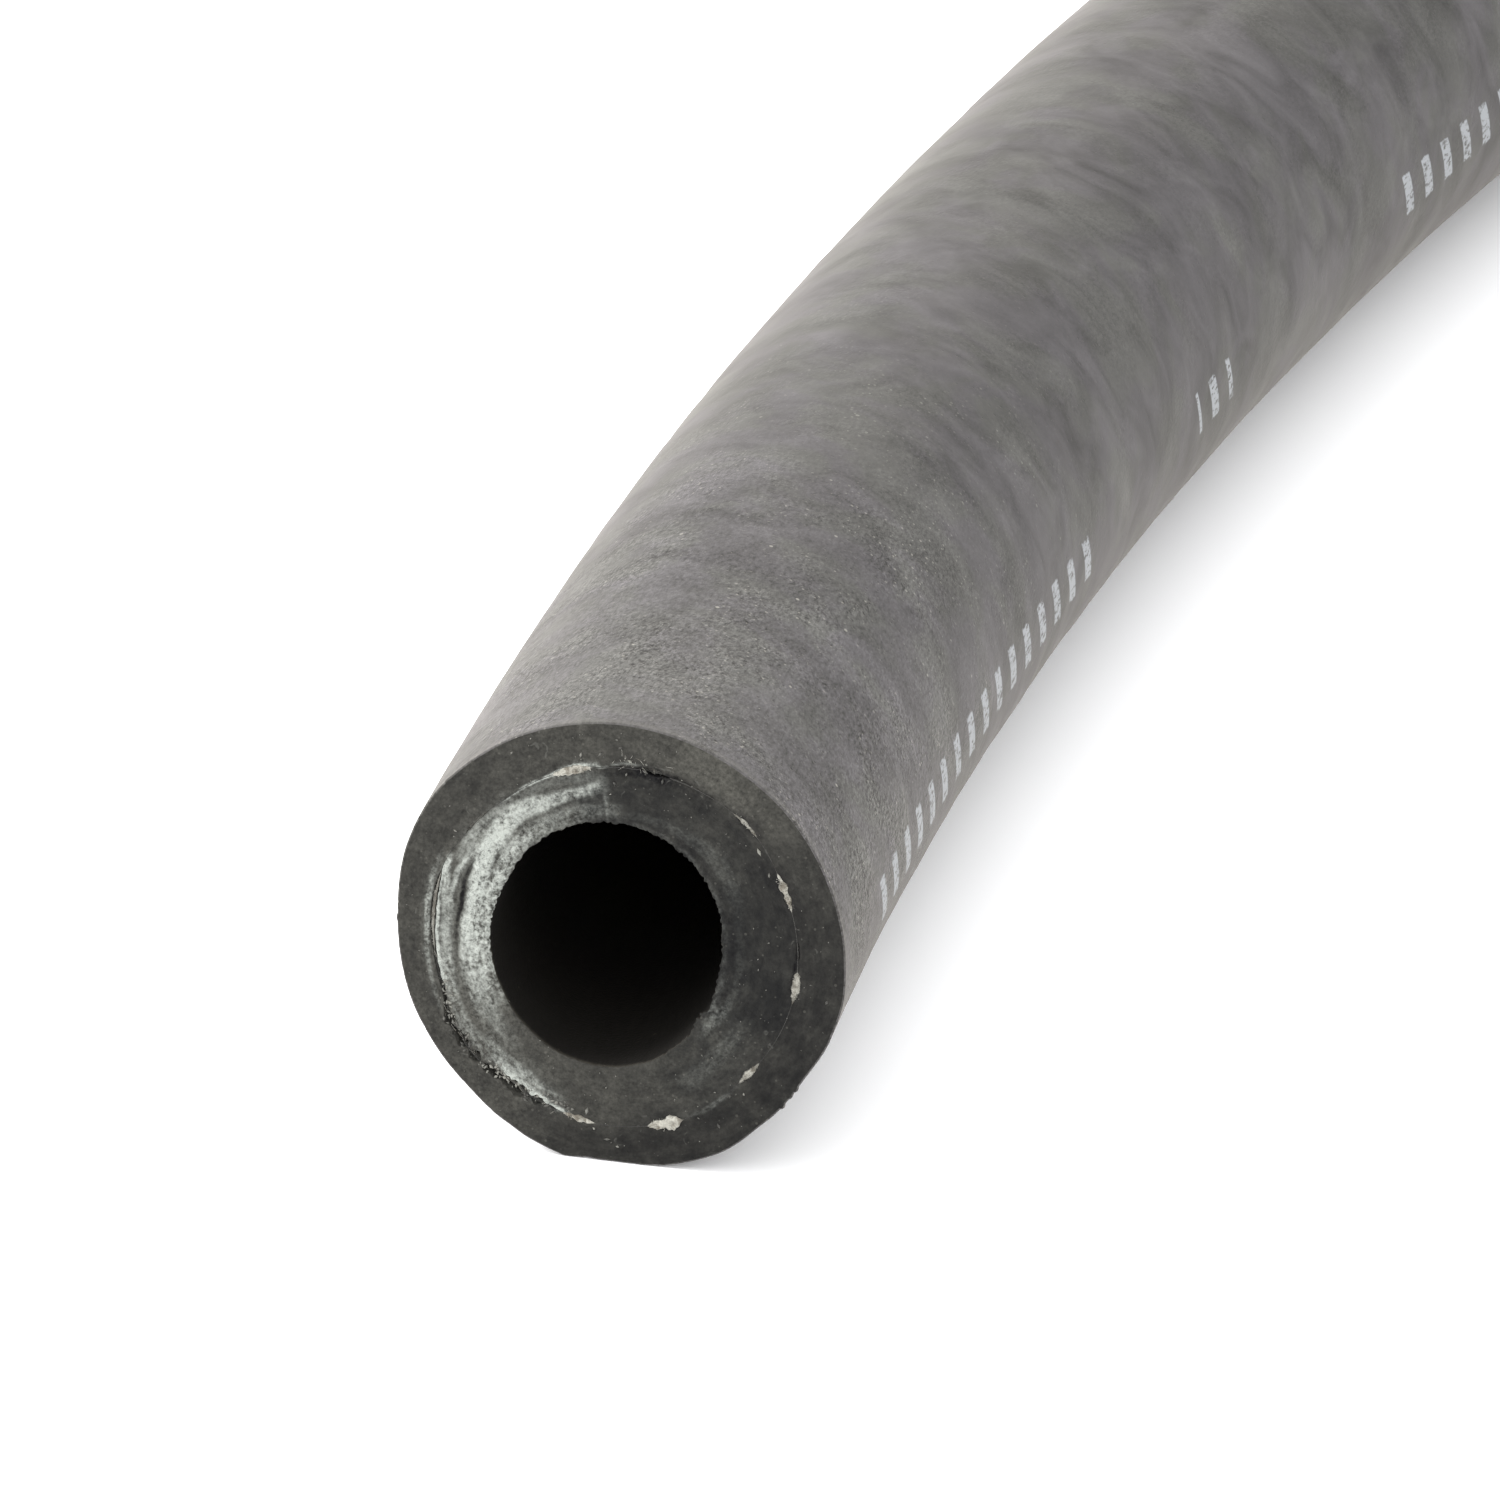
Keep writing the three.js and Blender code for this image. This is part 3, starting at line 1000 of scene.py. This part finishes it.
def yarn_end_values(degrees):
    """Depth and brightness of the reinforcement's near end at these angles."""
    depth = np.zeros(len(degrees))
    bright = np.full(len(degrees), 0.03)
    right_side = 1 - ramp(np.abs(apart(degrees, 20)), 45, 65)
    bright = bright + 0.04 * right_side
    for angle, half_width, _, end_depth, shine in YARN_ENDS:
        offset = np.abs(np.radians(apart(degrees, angle))) * YARN_MIDDLE_RADIUS / half_width
        share = 1 - ramp(offset, 0.85, 1.15)
        depth = depth + (end_depth - depth) * share
        bright = bright + (shine - bright) * share
    return depth, bright


def make_sleeve():
    body = RingMesh()
    brightness = []
    degrees = around(COVER_COLUMNS)
    depth, bright = yarn_end_values(degrees)
    middle = bond_radius(degrees, 0)
    rise = yarn_rise(degrees, 0) * YARN_FIT
    for share in np.linspace(-1, 1, 9):
        radius = middle + rise * share
        right, up = cartesian(radius, degrees)
        grain = noise(right * 6, up * 6, 0, 91, 3)
        stand = (0.07 * grain + 0.05 * abs(share) ** 3) * ramp(rise, 0.03, 0.12)
        body.ring(radius, slant(right, up) + depth + stand, degrees, 0)
        brightness.append(bright)

    def sleeve_ring(angles, along, side):
        places = np.full(len(angles), float(along))
        radius = bond_radius(angles, places) + side * yarn_rise(angles, places) * YARN_FIT
        body.slanted_ring(radius, along, angles, 0)
        brightness.append(np.full(len(angles), HIDDEN_BRIGHTNESS))

    coarse = around(WALL_COLUMNS)
    for along in (0.7, 1.3):
        sleeve_ring(degrees, along, 1)
    for along in reversed(wall_places()):
        sleeve_ring(coarse, along, 1)
    fine = around(SKIN_COLUMNS)
    for side in np.linspace(1, -1, 5):
        sleeve_ring(fine, HOSE_LENGTH - 0.03, side)
    for along in wall_places():
        sleeve_ring(coarse, along, -1)
    for along in (1.3, 0.7):
        sleeve_ring(degrees, along, -1)
    faces, materials = body.faces()
    masks = {"bright": np.concatenate(brightness)}
    piece = build_piece("reinforcement_sleeve", body.points(), faces, [YARN], materials, masks)
    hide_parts("textile_reinforcement")
    return piece


# Loose fibres

FIBRE_SIDES = 5
FIBRE_STEPS = 5
YARN_FIBRES_PER_MM = 60
CRACK_FIBRES = 46
TORN_FIBRES = 26


def fibre(start, lean, length, thickness, curl, rng):
    """Rings of one bent, tapering fibre, as straight points and faces."""
    heading = np.array(lean, float)
    heading /= np.linalg.norm(heading)
    side = np.cross(heading, rng.normal(size=3))
    side /= np.linalg.norm(side)
    other = np.cross(heading, side)
    points, faces = [], []
    for step in range(FIBRE_STEPS):
        share = step / (FIBRE_STEPS - 1)
        middle = start + heading * length * share + side * curl * length * share**2
        radius = thickness * (1 - 0.45 * share)
        for k in range(FIBRE_SIDES):
            turn = 2 * math.pi * k / FIBRE_SIDES
            points.append(middle + radius * (math.cos(turn) * side + math.sin(turn) * other))
    for step in range(FIBRE_STEPS - 1):
        for k in range(FIBRE_SIDES):
            here, after = step * FIBRE_SIDES + k, step * FIBRE_SIDES + (k + 1) % FIBRE_SIDES
            faces.append([here, here + FIBRE_SIDES, after + FIBRE_SIDES, after])
    last = (FIBRE_STEPS - 1) * FIBRE_SIDES
    faces.append(list(range(FIBRE_SIDES)))
    faces.append([last + k for k in reversed(range(FIBRE_SIDES))])
    return points, faces


def join(points, faces, more, more_faces):
    """Adds one closed shape to a mesh."""
    offset = len(points)
    points.extend(more)
    faces.extend([[offset + k for k in face] for face in more_faces])


def make_filaments():
    """Cut filaments that stand out of the yarn ends, and loose ones at the crack and the torn top."""
    rng = np.random.default_rng(7)
    points, faces, bright = [], [], []

    def add(degrees, radius, depth, length, thickness, lean, curl, shine):
        turn = math.radians(degrees)
        right, up = radius * math.cos(turn), radius * math.sin(turn)
        start = np.array([right, up, slant(right, up) + depth])
        more, more_faces = fibre(start, lean, length, thickness, curl, rng)
        join(points, faces, more, more_faces)
        bright.extend([shine] * len(more))

    for angle, half_width, half_thickness, depth, shine in YARN_ENDS:
        if shine < 0.5:
            continue
        for _ in range(int(YARN_FIBRES_PER_MM * half_width)):
            offset = rng.uniform(-0.9, 0.9)
            degrees = angle + math.degrees(offset * half_width / YARN_MIDDLE_RADIUS)
            room = half_thickness * (1 - offset**2) ** 0.65
            radius = float(bond_radius(np.array(degrees), 0)) + rng.uniform(-0.85, 0.85) * room
            lean = (rng.normal() * 0.7, rng.normal() * 0.7, -0.7)
            length = rng.uniform(0.08, 0.2)
            thickness = rng.uniform(0.012, 0.024)
            add(degrees, radius, depth + 0.09, length, thickness, lean, rng.normal() * 0.3, shine)
    for _ in range(CRACK_FIBRES):
        degrees = 180 + rng.uniform(-16, 74)
        radius = float(bond_radius(np.array(degrees), 0)) + rng.uniform(-0.12, 0.12)
        turn = math.radians(degrees)
        swing = rng.choice((-1, 1))
        aside = -math.sin(turn) * swing + rng.normal() * 0.5
        upward = math.cos(turn) * swing + rng.normal() * 0.5
        length, thickness = rng.uniform(0.15, 0.5), rng.uniform(0.007, 0.013)
        add(degrees, radius, 0.08, length, thickness, (aside, upward, -0.15), rng.normal() * 0.2, 1.0)
    for _ in range(TORN_FIBRES):
        degrees = rng.normal(88, 4.5)
        radius = rng.uniform(8.75, 9.35)
        lean = (rng.normal(), rng.normal(), -0.1)
        length, thickness = rng.uniform(0.15, 0.4), rng.uniform(0.008, 0.014)
        add(degrees, radius, 0.02, length, thickness, lean, rng.normal() * 0.4, 0.7)
    return build_piece("yarn_filaments", points, faces, [YARN], None, {"bright": bright})


# Crumbs of rubber and chalk that the knife left on the cut, as (angle, radius, size) in degrees and mm
CRUMBS = [
    (102, 9.31, 0.07), (96, 9.32, 0.08), (95, 9.17, 0.06), (91, 10.05, 0.06), (90, 9.68, 0.08),
    (87, 9.06, 0.09),
    (82, 8.71, 0.08), (82, 9.07, 0.07), (121, 10.31, 0.06), (-10, 10.3, 0.09), (-100, 8.72, 0.1),
    (-106, 8.9, 0.09),
    (-97, 9.5, 0.07), (-93, 9.9, 0.08), (-90, 10.2, 0.07), (-60, 9.9, 0.08), (-52, 8.9, 0.09),
    (-48, 9.2, 0.06),
    (38, 8.6, 0.1), (30, 8.4, 0.08), (150, 9.3, 0.07), (205, 9.3, 0.1), (212, 9.35, 0.11),
    (219, 9.4, 0.1),
    (228, 9.3, 0.12), (233, 9.25, 0.1), (241, 9.4, 0.08), (76, 8.5, 0.08), (88, 8.4, 0.07),
    (92, 7.9, 0.08),
]
LOOSE_CRUMBS = 220
CRACK_CRUMBS = 130
CRUMB_SIDES = 6


def crumb(middle, size, rng):
    """A small lump with two pointed ends."""
    heading = rng.normal(size=3) * (1, 1, 0.15)
    heading /= np.linalg.norm(heading)
    side = np.cross(heading, (0, 0, 1))
    side /= np.linalg.norm(side)
    other = np.cross(heading, side)
    long = size * rng.uniform(0.9, 2.4)
    points = [middle - heading * long]
    for k in range(CRUMB_SIDES):
        turn = 2 * math.pi * k / CRUMB_SIDES
        reach = size * rng.uniform(0.6, 1.0)
        points.append(middle + reach * (math.cos(turn) * side + math.sin(turn) * other))
    points.append(middle + heading * long)
    last = CRUMB_SIDES + 1
    faces = []
    for k in range(CRUMB_SIDES):
        here, after = 1 + k, 1 + (k + 1) % CRUMB_SIDES
        faces.append([0, here, after])
        faces.append([last, after, here])
    return points, faces


def loose_crumb(rng):
    """The place and size of a crumb somewhere on the rubber between the layers' edges."""
    degrees = rng.uniform(-180, 180)
    bore = float(bore_edge(np.array([degrees]), np.zeros(1))[0])
    radius = rng.uniform(bore + 0.5, float(round_curve(degrees, OUTLINE)) - 0.3)
    return degrees, radius, rng.uniform(0.018, 0.036)


def crack_crumb(rng):
    """The place and size of a crumb on the broken edge at the lower left."""
    degrees = rng.uniform(196, 256)
    radius = float(round_curve(degrees, BOND_RADIUS)) + rng.uniform(-0.55, 0.3)
    return degrees, radius, rng.uniform(0.03, 0.09)


def make_crumbs():
    rng = np.random.default_rng(11)
    points, faces = [], []
    loose = [loose_crumb(rng) for _ in range(LOOSE_CRUMBS)]
    cracked = [crack_crumb(rng) for _ in range(CRACK_CRUMBS)]
    for degrees, radius, size in CRUMBS + loose + cracked:
        turn = math.radians(degrees)
        right, up = radius * math.cos(turn), radius * math.sin(turn)
        middle = np.array([right, up, slant(right, up) - 0.1 * size])
        more, more_faces = crumb(middle, size, rng)
        join(points, faces, more, more_faces)
    return build_piece("cut_crumbs", points, faces, [CRUMB])


# The floor and the light

FLOOR_SIZE = 8
FLOOR_GLOW = 0.1
WORLD_STRENGTH = 1.8


def make_floor():
    bpy.ops.mesh.primitive_plane_add(size=FLOOR_SIZE, location=(0, 0, 0))
    floor = bpy.context.object
    floor.name = "studio_floor"
    shader = Shader("studio_white", Roughness=0.9, Specular_IOR_Level=0.1, Emission_Strength=FLOOR_GLOW)
    shader.surface.inputs["Emission Color"].default_value = (1, 1, 1, 1)
    place = shader.node("TexCoord", {}, "Object")
    shade = shader.noise(place, 3.0, 2.0)
    white = shader.blend(shade, (0.93, 0.935, 0.95), (0.95, 0.95, 0.955))
    floor.data.materials.append(shader.finish(white))


def make_light(name, aside, above, beyond, size, power, colour):
    """A square soft light: metres to the right, above and beyond the near end, as the camera sees it."""
    level = CAMERA_RIGHT.cross(-UP)
    place = NEAR_CENTRE + CAMERA_RIGHT * aside + UP * above + level * beyond
    data = bpy.data.lights.new(name, "AREA")
    data.size = size
    data.energy = power
    data.color = colour
    light = bpy.data.objects.new(name, data)
    light.location = place
    light.rotation_mode = "QUATERNION"
    light.rotation_quaternion = (NEAR_CENTRE - place).to_track_quat("-Z", "Y")
    bpy.context.scene.collection.objects.link(light)


def make_world():
    world = bpy.data.worlds.new("studio_world")
    world.use_nodes = True
    world.node_tree.nodes["Background"].inputs["Color"].default_value = (1, 1, 1, 1)
    world.node_tree.nodes["Background"].inputs["Strength"].default_value = WORLD_STRENGTH
    bpy.context.scene.world = world
    bpy.context.scene.view_settings.view_transform = "Standard"


SKIN = skin_material()
COVER_CUT = cut_material("cover_cut", (0.0085, 0.0083, 0.0084))
TUBE_CUT = cut_material("tube_cut", (0.0078, 0.0078, 0.0081))
BORE = bore_material()
YARN = yarn_material()
CRUMB = crumb_material()

cover = make_cover()
tube = make_tube()
sleeve = make_sleeve()
filaments = make_filaments()
crumbs = make_crumbs()
make_floor()
make_world()
make_light("key_light", aside=-0.9, above=0.55, beyond=0.3, size=0.6, power=20, colour=(1.0, 0.99, 0.97))
